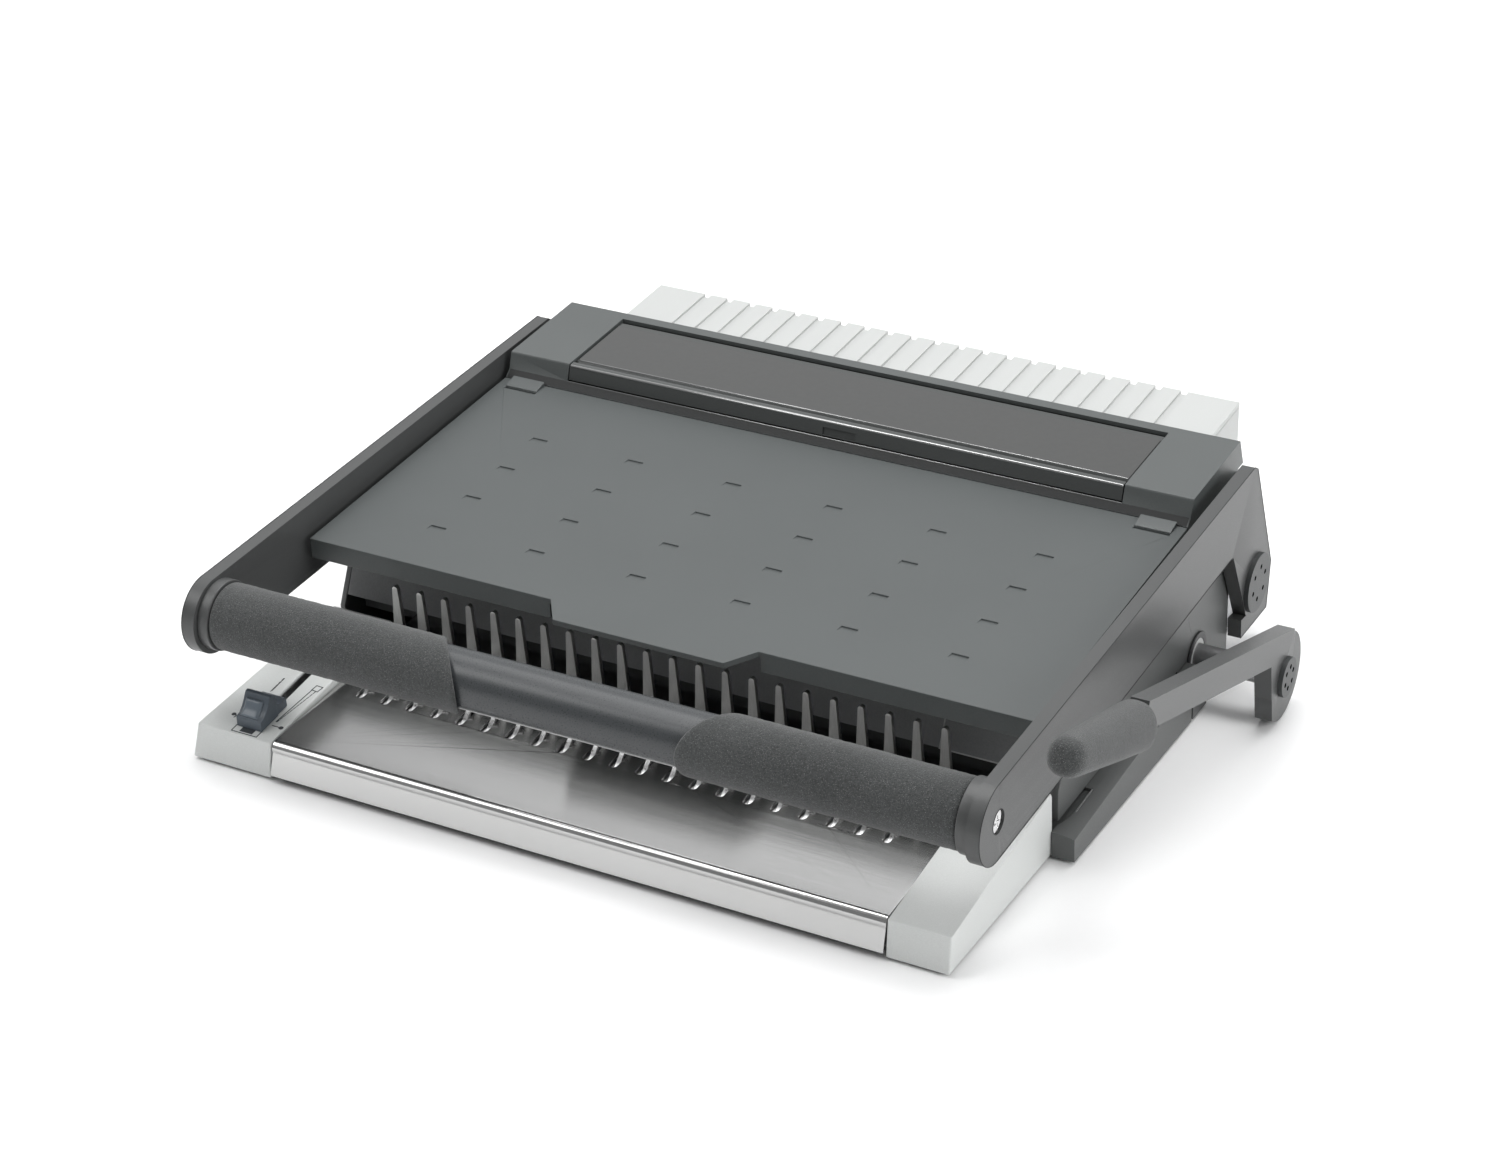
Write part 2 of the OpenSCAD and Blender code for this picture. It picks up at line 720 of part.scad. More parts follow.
// oblique inner end: long side at the front underneath, short side on top at the back
cut_a = atan(grip_run / (tube_r + foam_t));
module half_grip(mid) {
    difference() {
        bar_x(mid - grip_run - 1, grip_out, tube_y, tube_z, tube_r + foam_t);
        bar_x(0, grip_out + 1, tube_y, tube_z, tube_r);
        translate([mid, tube_y, tube_z])
            rotate([5, 0, 0])
                rotate([0, 0, -cut_a])
                    translate([-60, -60, -60])
                        cube([60, 120, 120]);
    }
}
module right_grip() color("#3b3d3e") h() {
    half_grip(grip_in + grip_skew);
}
module left_grip() color("#3b3d3e") h() {
    mirror([1, 0, 0])
        half_grip(grip_in - grip_skew);
}
module handle_collars() color("#4e5254") h() {
    for (s = [-1, 1])
        difference() {
            union() {
                bar_x(s * ring_x - 2.9, s * ring_x + 2.9, tube_y, tube_z, tube_r + foam_t + 0.9);
                bar_x(s * (ring_x - 8) - 11, s * (ring_x - 8) + 11, tube_y, tube_z, tube_r - tube_w);
            }
            difference() {
                bar_x(s * ring_x - 3.5, s * ring_x + 3.5, tube_y, tube_z, tube_r);
                bar_x(s * ring_x - 4, s * ring_x + 4, tube_y, tube_z, tube_r - tube_w);
            }
            bar_x(s * (ring_x - 8) - 12, s * (ring_x - 8) + 12, tube_y, tube_z, 3.1);
        }
}
module handle_screws() color("#d5d8da") h() {
    for (s = [-1, 1]) {
        bar_x(s * (arm_x - 7.6) - 11, s * (arm_x - 7.6) + 11, tube_y, tube_z, 3.05);
        difference() {
            bar_x(s * (arm_x + arm_t - 2.1) - 1.5, s * (arm_x + arm_t - 2.1) + 1.5, tube_y, tube_z, 5.6);
            translate([s * (arm_x + arm_t) - 1, tube_y - 0.7, tube_z - 3.4])
                cube([2, 1.4, 6.8]);
            translate([s * (arm_x + arm_t) - 1, tube_y - 3.4, tube_z - 0.7])
                cube([2, 6.8, 1.4]);
        }
    }
}
module pierced_disc(x0, x1, y, z, r, hx) {
    difference() {
        bar_x(x0, x1, y, z, r);
        for (k = [0:5])
            bar_x(hx - 2, hx + 2, y + 0.55 * r * cos(k * 60 + 15), z + 0.55 * r * sin(k * 60 + 15), 0.9);
    }
}
disc_x = arm_x + arm_t + cap_t / 2;
module pivot_caps() color("#4a4d4f") h() {
    for (s = [-1, 1])
        pierced_disc(s * disc_x - cap_t / 2, s * disc_x + cap_t / 2, piv_y, piv_z, 15.8,
            s * (disc_x + cap_t / 2));
}

// ---- bind lever ----
function along(t, n) = [tip_y + t * cos(grip_a) + n * sin(grip_a), tip_z - t * sin(grip_a) + n * cos(grip_a)];
core_t = 12;
core_hi = 5;
bar_lo = -2.1;
bar_hi = 12.2;
hub_r = 23.3;
module lever_profile() {
    difference() {
        union() {
            polygon([along(core_t, core_hi), along(grip_l + gap, core_hi), along(grip_l + gap, bar_hi),
                [lev_y + 12.4, lev_z + 20.8], [lev_y + 10, lev_z], [lev_y - 17.5, lev_z - 4],
                [lev_y - 20.7, lev_z + 17.5], along(grip_l + gap, bar_lo), along(core_t, bar_lo)]);
            difference() {
                translate([lev_y, lev_z])
                    circle(r = hub_r);
                polygon([[lev_y - 43, lev_z + 49], [lev_y - 25.4, lev_z + 49], [lev_y - 14.2, lev_z - 26],
                    [lev_y - 43, lev_z - 26]]);
            }
        }
        translate([lev_y, lev_z])
            circle(r = lshaft_r);
    }
}
module lever_arm() color("#55595b") m() {
    prism(lev_x - lev_t, lev_x)
        lever_profile();
}
module lever_grip() color("#3b3d3e") m() {
    difference() {
        translate([grip_c, tip_y, tip_z])
            rotate([-grip_a, 0, 0])
                translate([0, lgrip_tip, 0]) {
                    rotate([-90, 0, 0])
                        cylinder(h = grip_l - lgrip_tip, r1 = lgrip_tip, r2 = lgrip_r);
                    sphere(r = lgrip_tip);
                }
        prism(lev_x - lev_t, lev_x)
            polygon([along(core_t, core_hi), along(grip_l + 3, core_hi), along(grip_l + 3, bar_lo),
                along(core_t, bar_lo)]);
    }
}
module lever_shaft() color("#b6b9bb") m() {
    bar_x(-134, lev_x, lev_y, lev_z, lshaft_r);
}
module lever_cap() color("#4a4d4f") m() {
    pierced_disc(lev_x, lev_x + cap_t, lev_y, lev_z, 10.4, lev_x + cap_t);
}
module shaft_collar() color("#242627") m() {
    difference() {
        bar_x(face_x, face_x + 1.2, lev_y, lev_z, collar_r);
        bar_x(face_x - 1, face_x + 2, lev_y, lev_z, bush_r);
    }
}
module shaft_bush() color("#e4e6e6") m() {
    difference() {
        bar_x(cheek_x - 1, face_x + 1, lev_y, lev_z, bush_r);
        bar_x(cheek_x - 2, face_x + 2, lev_y, lev_z, lshaft_r + run_c);
    }
}
module shaft_bracket() color("#777b7e") above(pan_top) m() {
    prism(-132, -126)
        difference() {
            union() {
                translate([lev_y, lev_z])
                    circle(r = 12.5);
                polygon([[lev_y - 12.5, lev_z], [lev_y + 12.5, lev_z], [lev_y + 18, -70], [lev_y - 18, -70]]);
            }
            translate([lev_y, lev_z])
                circle(r = lshaft_r + run_c);
        }
}
module cranks() color("#8f9295") m() {
    for (s = [-1, 1]) {
        prism(s * 117.4 - 3, s * 117.4 + 3)
            difference() {
                union() {
                    translate([lev_y, lev_z])
                        circle(r = 12);
                    translate([pin_y, pin_z])
                        circle(r = 6.5);
                    translate([lev_y, lev_z])
                        rotate(crank_a)
                            translate([-6.5, 0])
                                square([13, crank_r]);
                }
                translate([lev_y, lev_z])
                    circle(r = lshaft_r);
            }
        bar_x(s * 114 - 6.4, s * 114 + 6.4, pin_y, pin_z, pin_r);
    }
}
// ---- hooks ----
module hook_slider() color("#9a9d9f") m() {
    box(-slider_hw, slider_hw, 50, 64, -7.2, slider_top);
}
module hooks() color("#d0d3d5") m() {
    for (i = [0:rings - 1])
        translate([(i - (rings - 1) / 2) * pitch, 0, 0]) {
            prism(-0.4, 1.9)
                translate([hook_y, 0])
                    polygon([[-4.4, slider_top], [2, slider_top], [2.4, -1.4], [6.7, 2.6], [6.5, 3.4],
                        [5.3, 3.6], [2.4, 1.4], [0.2, -0.5], [-1.6, -1.8], [-4.4, -2.6]]);
            prism(-1.8, -0.3)
                translate([hook_y, 0])
                    polygon([[-4.4, slider_top], [1, slider_top], [1, -2.1], [-1.6, -2], [-4.4, -2.6]]);
        }
}
module push_rods() color("#8f9295") m() {
    for (s = [-1, 1])
        prism(s * rod_x - rod_t / 2, s * rod_x + rod_t / 2)
            difference() {
                polygon([[52, -14.2], [240, -14.2], [248, -10], [pin_y + 9, -10], [pin_y + 9, 14],
                    [pin_y - 9, 14],
                    [236, -7.2], [52, -7.2]]);
                translate([pin_y, pin_z])
                    circle(r = pin_r + slide_c);
                translate([pin_y, lev_z + crank_r])
                    circle(r = pin_r + slide_c);
                translate([pin_y - pin_r - slide_c, pin_z])
                    square([2 * (pin_r + slide_c), lev_z + crank_r - pin_z]);
            }
}
module slider_rails() color("#5a5e60") above(pan_top) m() {
    for (s = [-1, 1]) {
        box(s * 130 - 4, s * 130 + 4, 46, 98, -60, -7.2 - gap);
        difference() {
            box(s * rod_x - 7, s * rod_x + 7, 90, 98, -60, -7.2);
            box(s * rod_x - 3 - slide_c, s * rod_x + 3 + slide_c, 80, 110, -14.2 - gap, 0);
        }
    }
}
// ---- size selector ----
module size_selector() color("#4f5964") m() rotate([cap_s, 0, 0]) translate([sel_x, sel_y, 0]) {
    prism(-7.25, 7.25)
        polygon([[0, gap], [14.2, gap], [14.2, 11.4], [13.4, 13.4], [12.2, 14.2], [10.6, 14], [9.8, 13.2],
            [8.6, 11.4], [6, 8.2], [3.2, 6.2], [1, 5.8], [0.4, 5.2]]);
    difference() {
        prism(-6.6, 6.6)
            polygon([[14.1, gap], [22.8, gap], [22.8, 4.8], [22, 5.8], [14.1, 9.8]]);
        bar_x(-9, 9, 18.4, 8.3, 3.2);
    }
    box(-2.15, 2.15, 12.5, 20.5, -cap_w - 1, 1);
    box(-6, 6, 6, 22.6, -cap_w - 2.3, -cap_w - gap);
}
// ---- chips ----
// a shallow finger scoop beside the cheek, its outer edge lined with a steel lip
pull_x = 3.8;
pull_t = 0.8;
scoop_l = 39.6;
module pull_box(top) {
    box(base_hw + pull_x, base_hw + pull_x + pull_t, drawer_y0 + 20, drawer_y0 + scoop_l, drawer_z - 2.2,
        top);
}
module chip_drawer() color("#5a5e60") {
    difference() {
        above(pan_top + gap) m()
            box(-cheek_x + 14, base_hw + 0.4, drawer_y0 + 4, drawer_y1 - 4, -60, drawer_z - 0.7);
        above(pan_top + gap + 1.8) m()
            box(-cheek_x + 16, base_hw - 8, drawer_y0 + 6, drawer_y1 - 6, -60, drawer_z + 2);
    }
    above(foot_h) m()
        difference() {
            translate([0, drawer_y1, 0])
                rotate([90, 0, 0])
                    linear_extrude(drawer_y1 - drawer_y0)
                        polygon([[base_hw + gap, -60], [base_hw + flange_t, -60],
                            [base_hw + flange_t, drawer_z],
                            [base_hw + 6, drawer_z + 1.2], [base_hw + gap, drawer_z + 1.2]]);
            translate([base_hw, drawer_y0, drawer_z - 0.3])
                linear_extrude(5)
                    polygon([[-1, 6], [1, 7.5], [2.4, 11], [3.3, 16], [pull_x, 24], [pull_x, scoop_l],
                        [-1, scoop_l]]);
            pull_box(drawer_z + 5);
        }
}
module drawer_pull() color("#8a8d8f") m() {
    pull_box(drawer_z + 1.2);
}
module chip_chute() color("#8a8d8f") m() {
    top = die_z - die_t - gap;
    for (x = [[-104, 104], [124, bear_x - gap], [gap - bear_x, -132.5]])
        prism(x[0], x[1])
            polygon([[326.5, top], [326.5, top - 3.4], [300, 17.4], [262, 7], [238, -9.5], [236.9, -8.6],
                [261.4, 8.3],
                [299.5, 18.8], [325, top - 2.8], [325, top]]);
}

base_pan();
feet();
left_end_cap();
right_end_cap();
work_plate();
fingers();
finger_rail();
left_cheek();
right_cheek();
front_wall();
side_ledge();
top_panel();
edge_stops();
hood();
hood_lid();
lid_pins();
back_panel();
rear_housing();
comb_rack();
left_bearing_plate();
right_bearing_plate();
handle_bushes();
die_plate();
guide_plate();
back_stop();
guide_pins();
punch_bar();
punches();
yokes();
die_screws();
handle_shaft();
eccentrics();
shaft_spacers();
left_arm();
right_arm();
handle_tube();
left_grip();
right_grip();
handle_collars();
handle_screws();
pivot_caps();
lever_arm();
lever_grip();
lever_shaft();
lever_cap();
shaft_collar();
shaft_bush();
shaft_bracket();
cranks();
hook_slider();
hooks();
push_rods();
slider_rails();
size_selector();
chip_drawer();
drawer_pull();
chip_chute();
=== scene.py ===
import math
import random

import bmesh
import bpy
from mathutils import Matrix, Vector
from mathutils.bvhtree import BVHTree


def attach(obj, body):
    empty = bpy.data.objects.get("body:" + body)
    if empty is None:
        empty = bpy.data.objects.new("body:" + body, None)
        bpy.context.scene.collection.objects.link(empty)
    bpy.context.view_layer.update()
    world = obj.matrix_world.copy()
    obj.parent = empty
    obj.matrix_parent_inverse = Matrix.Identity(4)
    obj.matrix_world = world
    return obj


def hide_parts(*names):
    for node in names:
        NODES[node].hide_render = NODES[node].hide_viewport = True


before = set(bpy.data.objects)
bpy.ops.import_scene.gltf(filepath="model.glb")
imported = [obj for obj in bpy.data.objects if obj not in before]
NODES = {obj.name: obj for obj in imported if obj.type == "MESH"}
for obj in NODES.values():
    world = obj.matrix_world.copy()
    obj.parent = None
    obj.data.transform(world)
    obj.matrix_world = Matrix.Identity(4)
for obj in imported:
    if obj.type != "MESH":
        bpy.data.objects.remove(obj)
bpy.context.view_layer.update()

# ---- the machine's own frame, in mm ----
# x from the comb's middle, y from the work plate's front edge, z from its top; the deck is tilted by TILT
TILT = math.radians(4.7)
X_MID, Y_MID, LIFT = 23.6, 208.2542, 20.4311


def M(x, y, z):
    """A place in the machine's frame as a place in the shared frame, in metres."""
    c, s = math.cos(TILT), math.sin(TILT)
    return Vector(((x - X_MID) / 1000, (y * c - z * s - Y_MID) / 1000, (y * s + z * c + LIFT) / 1000))


TO_WORLD = Matrix.Translation(M(0, 0, 0)) @ Matrix.Rotation(TILT, 4, "X") @ Matrix.Scale(0.001, 4)

# ---- image points, in the photograph's 1500 x 1153 frame ----
W, H = 1500, 1153
POINTS = {
    "machine_left": (182.2, 619.7),
    "machine_right": (1302.0, 643.0),
    "machine_top": (664.9, 285.3),
    "machine_bottom": (946.6, 976.9),
    "plate_front_left": (271.0, 745.0),
    "plate_front_right": (886.0, 919.0),
    "hood_right": (1239.9, 441.8),
    "arm_corner": (1258.6, 464.5),
    "pivot_cap": (1260.6, 583.9),
    "lever_disc": (1289.0, 678.0),
    "mark_box": (244.3, 733.2),
    "mark_dot_right": (281.0, 728.0),
    "mark_dot_left": (234.0, 714.0),
    "mark_scale": (297.2, 704.9),
    "mark_line": (277.5, 685.0),
    "wall_label": (984.0, 741.0),
}

# ---- camera ----
CAM_LOC = Vector((0.6587, -1.304327, 0.8095))
CAM_ROT = (math.radians(90 - 27.229), 0.0, math.radians(27.955))
LENS, SENSOR = 78.80, 36.0
SHIFT_X, SHIFT_Y = 0.00073, 0.0025
CLIP_START, CLIP_END = 0.05, 50
LONG = max(W, H)
FOCAL = LONG * LENS / SENSOR
cam_data = bpy.data.cameras.new("camera")
cam_data.sensor_fit = "AUTO"
cam_data.sensor_width = SENSOR
cam_data.lens = LENS
cam_data.shift_x = SHIFT_X
cam_data.shift_y = SHIFT_Y
cam_data.clip_start = CLIP_START
cam_data.clip_end = CLIP_END
cam = bpy.data.objects.new("camera", cam_data)
bpy.context.scene.collection.objects.link(cam)
cam.location = CAM_LOC
cam.rotation_euler = CAM_ROT
bpy.context.scene.camera = cam
bpy.context.view_layer.update()
CAM = cam.matrix_world.copy()


def ray_dir(x, y):
    """The direction from the camera through an image point."""
    d = Vector((x - W / 2 + SHIFT_X * LONG, H / 2 - y + SHIFT_Y * LONG, -LONG * LENS / SENSOR))
    return (CAM.to_3x3() @ d).normalized()


def project(p):
    """The image point at which a place shows."""
    q = CAM.inverted() @ Vector(p)
    return (W / 2 - SHIFT_X * LONG - FOCAL * q.x / q.z, H / 2 + SHIFT_Y * LONG + FOCAL * q.y / q.z)


def on_surface(point, obj):
    """Where the ray through an image point meets an object; a miss takes the place nearest the ray."""
    dg = bpy.context.evaluated_depsgraph_get()
    tree = BVHTree.FromObject(obj, dg)
    d = ray_dir(*POINTS[point])
    hit = tree.ray_cast(CAM.translation, d)
    if hit[0] is not None:
        return hit[0], hit[1]
    me = obj.evaluated_get(dg).data
    co = [v.co for v in me.vertices]
    o = CAM.translation
    best = min(co, key=lambda p: ((p - o) - d * (p - o).dot(d)).length)
    return best.copy(), Vector((0, 0, 1))


# ---- materials ----
DRIFT_SCALE, BUMP_DEPTH = 14.0, 0.0003
NOISE_LOW, NOISE_HIGH = 0.3, 0.7
COAT_ROUGH, SHEEN_ROUGH = 0.06, 0.6


def grey(v):
    return (v, v, v, 1)


def noise(nt, vector, scale, detail):
    n = nt.nodes.new("ShaderNodeTexNoise")
    n.inputs["Scale"].default_value = scale
    n.inputs["Detail"].default_value = detail
    nt.links.new(vector, n.inputs["Vector"])
    return n


def ramp(nt, value, low, high, first, last):
    r = nt.nodes.new("ShaderNodeValToRGB")
    for stop, position, colour in zip(r.color_ramp.elements, (low, high), (first, last)):
        stop.position = position
        stop.color = colour
    nt.links.new(value, r.inputs[0])
    return r.outputs[0]


def map_range(nt, value, low, high, to_low, to_high):
    r = nt.nodes.new("ShaderNodeMapRange")
    for key, v in (("From Min", low), ("From Max", high), ("To Min", to_low), ("To Max", to_high)):
        r.inputs[key].default_value = v
    nt.links.new(value, r.inputs["Value"])
    return r.outputs[0]


def material(name, color, rough=0.5, metallic=0.0, spread=0.06, grain=900.0, stretch=(1, 1, 1), bump=0.05,
             bump_scale=2500.0, rough_spread=0.06, coat=0.0, sheen=0.0, spec=0.5, aniso=0.0, speck=None,
             brush=False):
    """Procedural surface: colour and roughness drift on noise, fine bump.

    speck is (scale, colour, size) of small pale dots; brush smears reflections across a brushing along X.
    """
    m = bpy.data.materials.new(name)
    m.use_nodes = True
    nt = m.node_tree
    nt.nodes.clear()
    out = nt.nodes.new("ShaderNodeOutputMaterial")
    b = nt.nodes.new("ShaderNodeBsdfPrincipled")
    nt.links.new(b.outputs[0], out.inputs[0])
    for key, v in (("Metallic", metallic), ("Specular IOR Level", spec), ("Coat Weight", coat),
                   ("Coat Roughness", COAT_ROUGH), ("Sheen Weight", sheen), ("Sheen Roughness", SHEEN_ROUGH),
                   ("Anisotropic", aniso)):
        b.inputs[key].default_value = v
    if brush:
        tangent = nt.nodes.new("ShaderNodeTangent")
        tangent.direction_type = "RADIAL"
        tangent.axis = "X"
        nt.links.new(tangent.outputs[0], b.inputs["Tangent"])
    place = nt.nodes.new("ShaderNodeTexCoord").outputs["Object"]
    mp = nt.nodes.new("ShaderNodeMapping")
    mp.inputs["Scale"].default_value = stretch
    nt.links.new(place, mp.inputs["Vector"])
    fine = noise(nt, mp.outputs[0], grain, 6)
    fine.inputs["Roughness"].default_value = 0.62
    dark = [max(0, c * (1 - spread)) for c in color] + [1]
    light = [min(1, c * (1 + spread)) for c in color] + [1]
    grained = ramp(nt, fine.outputs["Fac"], NOISE_LOW, NOISE_HIGH, dark, light)
    # slow drift over the whole surface
    slow = noise(nt, place, DRIFT_SCALE, 3)
    drift = nt.nodes.new("ShaderNodeMixRGB")
    drift.blend_type = "MULTIPLY"
    drift.inputs[0].default_value = 1.0
    nt.links.new(grained, drift.inputs[1])
    nt.links.new(ramp(nt, slow.outputs["Fac"], 0.35, 0.65, grey(1 - spread * 0.5), grey(1)), drift.inputs[2])
    col = drift.outputs[0]
    if speck:
        scale, pale, size = speck
        dots = nt.nodes.new("ShaderNodeTexVoronoi")
        dots.inputs["Scale"].default_value = scale
        nt.links.new(place, dots.inputs["Vector"])
        mix = nt.nodes.new("ShaderNodeMixRGB")
        nt.links.new(ramp(nt, dots.outputs["Distance"], 0.0, size, grey(1), grey(0)), mix.inputs[0])
        nt.links.new(col, mix.inputs[1])
        mix.inputs[2].default_value = (*pale, 1)
        col = mix.outputs[0]
    nt.links.new(col, b.inputs["Base Color"])
    smooth, coarse = max(0.02, rough - rough_spread), min(1.0, rough + rough_spread)
    roughness = map_range(nt, fine.outputs["Fac"], NOISE_LOW, NOISE_HIGH, smooth, coarse)
    nt.links.new(roughness, b.inputs["Roughness"])
    if bump > 0:
        height = noise(nt, mp.outputs[0], bump_scale, 4)
        bp = nt.nodes.new("ShaderNodeBump")
        bp.inputs["Strength"].default_value = bump
        bp.inputs["Distance"].default_value = BUMP_DEPTH
        nt.links.new(height.outputs["Fac"], bp.inputs["Height"])
        nt.links.new(bp.outputs[0], b.inputs["Normal"])
    return m


PANEL = material("panel_paint", (0.070, 0.078, 0.078), 0.45, spread=0.10, grain=1500, bump=0.22,
                 bump_scale=2600)
HOOD = material("hood_paint", (0.082, 0.090, 0.089), 0.40, spread=0.07, grain=1500, bump=0.18,
                bump_scale=2600)
# painted light: the body's dark grey made lighter than the panel's paint, to lift the shade on the wall under the
# panel and behind the fingers; the base pan and back panel share it
WALL_LIGHTENED = material("wall_paint_lightened", (0.19, 0.194, 0.197), 0.55, spread=0.10, grain=1200, bump=0.2, bump_scale=2200)
CHEEK = material("cheek_paint", (0.088, 0.092, 0.091), 0.42, spread=0.07, grain=1500, bump=0.15,
                 bump_scale=2600)
ARM = material("arm_paint", (0.062, 0.064, 0.064), 0.38, spread=0.06, grain=1600, bump=0.12, bump_scale=2600)
TUBE = material("tube_paint", (0.045, 0.049, 0.052), 0.30, spread=0.05, grain=1500, bump=0.08)
LID = material("lid_gloss", (0.055, 0.056, 0.055), 0.14, spread=0.03, grain=300, bump=0.0,
               rough_spread=0.02, coat=0.1)
LID_RIM = material("lid_rim", (0.056, 0.060, 0.059), 0.20, spread=0.05, grain=1500, bump=0.03)
FOAM = material("grip_foam", (0.052, 0.055, 0.055), 0.92, spread=0.45, grain=1100, bump=1.0, bump_scale=1500,
                rough_spread=0.06, sheen=0.2, spec=0.2, speck=(1500.0, (0.34, 0.34, 0.34), 0.24))
# painted highlight: a bright metallic finish for the beads along the lid's and sill's edges, far lighter than the
# lid's dark plastic
EDGE_HIGHLIGHT = material("lid_edge_painted_highlight", (0.34, 0.342, 0.34), 0.12, metallic=0.8, spread=0.04, grain=900, bump=0.0,
                rough_spread=0.02, coat=1.0, spec=0.9)
# painted shade: near-black paint for the sheet on the sill, far darker than the hood's own paint
SILL_SHADE = material("sill_painted_shade", (0.014, 0.015, 0.015), 0.5, spread=0.08, grain=1500, bump=0.1, bump_scale=2600,
                spec=0.3)
RUBBER = material("foot_rubber", (0.02, 0.02, 0.021), 0.7, spread=0.15, grain=1200, bump=0.2)
BRUSHED = material("brushed_plate", (0.50, 0.50, 0.496), 0.15, metallic=1.0, spread=0.035, grain=420,
                   stretch=(0.02, 8, 8), bump=0.006, bump_scale=1400, rough_spread=0.025, aniso=0.8,
                   brush=True)
CHROME = material("bright_steel", (0.78, 0.78, 0.78), 0.13, metallic=1.0, spread=0.05, grain=500, bump=0.02,
                  rough_spread=0.05)
HOOK = material("hook_steel", (0.52, 0.52, 0.52), 0.30, metallic=1.0, spread=0.10, grain=700, bump=0.05,
                rough_spread=0.06)
SHAFT = material("shaft_steel", (0.30, 0.30, 0.305), 0.34, metallic=0.7, spread=0.08, grain=500, bump=0.0,
                 rough_spread=0.05)
FINGER = material("finger_steel", (0.50, 0.50, 0.49), 0.36, metallic=1.0, spread=0.14, grain=700,
                  stretch=(6, 1, 0.3), bump=0.1, rough_spread=0.08)
ZINC = material("zinc_steel", (0.42, 0.43, 0.44), 0.38, metallic=1.0, spread=0.12, grain=260, bump=0.06,
                rough_spread=0.10)
CAP = material("cap_plastic", (0.60, 0.615, 0.605), 0.42, spread=0.05, grain=1700, bump=0.16, bump_scale=2600)
RACK = material("rack_plastic", (0.47, 0.48, 0.472), 0.5, spread=0.03, grain=1500, bump=0.12, bump_scale=2400)
DARK = material("dark_plastic", (0.022, 0.023, 0.024), 0.4, spread=0.12, grain=1500, bump=0.12)
KNOB = material("knob_plastic", (0.070, 0.087, 0.105), 0.42, spread=0.06, grain=1400, bump=0.15)
KNOB_PAD = material("knob_pad", (0.115, 0.140, 0.165), 0.32, spread=0.05, grain=1400, bump=0.10)
DISC = material("disc_plastic", (0.045, 0.048, 0.049), 0.45, spread=0.08, grain=1400, bump=0.12)
NYLON = material("nylon", (0.55, 0.56, 0.55), 0.45, spread=0.04, grain=900, bump=0.1)
BRONZE = material("bronze", (0.45, 0.30, 0.14), 0.35, metallic=1.0, spread=0.15, grain=500, bump=0.08)
PRINT = material("print_ink", (0.035, 0.04, 0.046), 0.6, spread=0.2, grain=1800, bump=0.05)
# painted shade: near-black paint for the discs over the pivot holes
HOLE_SHADE = material("hole_shadow", (0.004, 0.004, 0.004), 0.9, spread=0.2, grain=1800, bump=0.0, spec=0.0)
# painted shade: dark paint for the lines in the seams along the arms' edges
SEAM_SHADE = material("seam_shadow", (0.014, 0.015, 0.015), 0.6, spread=0.2, grain=1800, bump=0.05)
LABEL_INK = material("label_ink", (0.42, 0.42, 0.42), 0.6, spread=0.1, grain=1800, bump=0.03)

# each node's material, and the width in mm by which its edges are rounded
LOOK = {
    "base_pan": (WALL_LIGHTENED, 0.3), "feet": (RUBBER, 0.3), "left_end_cap": (CAP, 0.9), "right_end_cap": (CAP, 0.9),
    "work_plate": (BRUSHED, 0.3), "fingers": (FINGER, 0.35), "finger_rail": (ZINC, 0.2),
    "left_cheek": (CHEEK, 0.5), "right_cheek": (CHEEK, 0.5), "front_wall": (WALL_LIGHTENED, 0.4),
    "side_ledge": (CHEEK, 0.5), "top_panel": (PANEL, 0.35), "edge_stops": (PANEL, 0.4), "hood": (HOOD, 1.0),
    "hood_lid": (LID_RIM, 0.45), "lid_pins": (CHROME, 0.0), "back_panel": (WALL_LIGHTENED, 0.4),
    "rear_housing": (RACK, 0.8), "comb_rack": (RACK, 0.25), "left_bearing_plate": (ZINC, 0.3),
    "right_bearing_plate": (ZINC, 0.3), "handle_bushes": (BRONZE, 0.2), "die_plate": (ZINC, 0.2),
    "guide_plate": (ZINC, 0.15), "back_stop": (ZINC, 0.15), "guide_pins": (CHROME, 0.2),
    "punch_bar": (ZINC, 0.2), "punches": (CHROME, 0.1), "yokes": (ZINC, 0.3), "die_screws": (DARK, 0.2),
    "handle_shaft": (CHROME, 0.3), "eccentrics": (ZINC, 0.2), "shaft_spacers": (DARK, 0.3),
    "left_arm": (ARM, 0.9), "right_arm": (ARM, 0.9), "handle_tube": (TUBE, 0.2), "left_grip": (FOAM, 0.0),
    "right_grip": (FOAM, 0.0), "handle_collars": (ARM, 0.6), "handle_screws": (CHROME, 0.2),
    "pivot_caps": (DISC, 0.5), "lever_arm": (ARM, 0.8), "lever_grip": (FOAM, 0.0),
    "lever_shaft": (SHAFT, 0.3), "lever_cap": (DISC, 0.5), "shaft_collar": (DARK, 0.5),
    "shaft_bush": (NYLON, 0.3), "shaft_bracket": (ZINC, 0.3), "cranks": (ZINC, 0.3),
    "hook_slider": (ZINC, 0.2), "hooks": (HOOK, 0.25), "push_rods": (ZINC, 0.3),
    "slider_rails": (DARK, 0.3), "size_selector": (KNOB, 0.5), "chip_drawer": (CHEEK, 0.5),
    "drawer_pull": (CHROME, 0.15), "chip_chute": (ZINC, 0.15),
}
BEVEL_STEPS, BEVEL_ANGLE = 2, math.radians(32)
WELD_DISTANCE, NORMAL_WEIGHT = 0.00001, 60


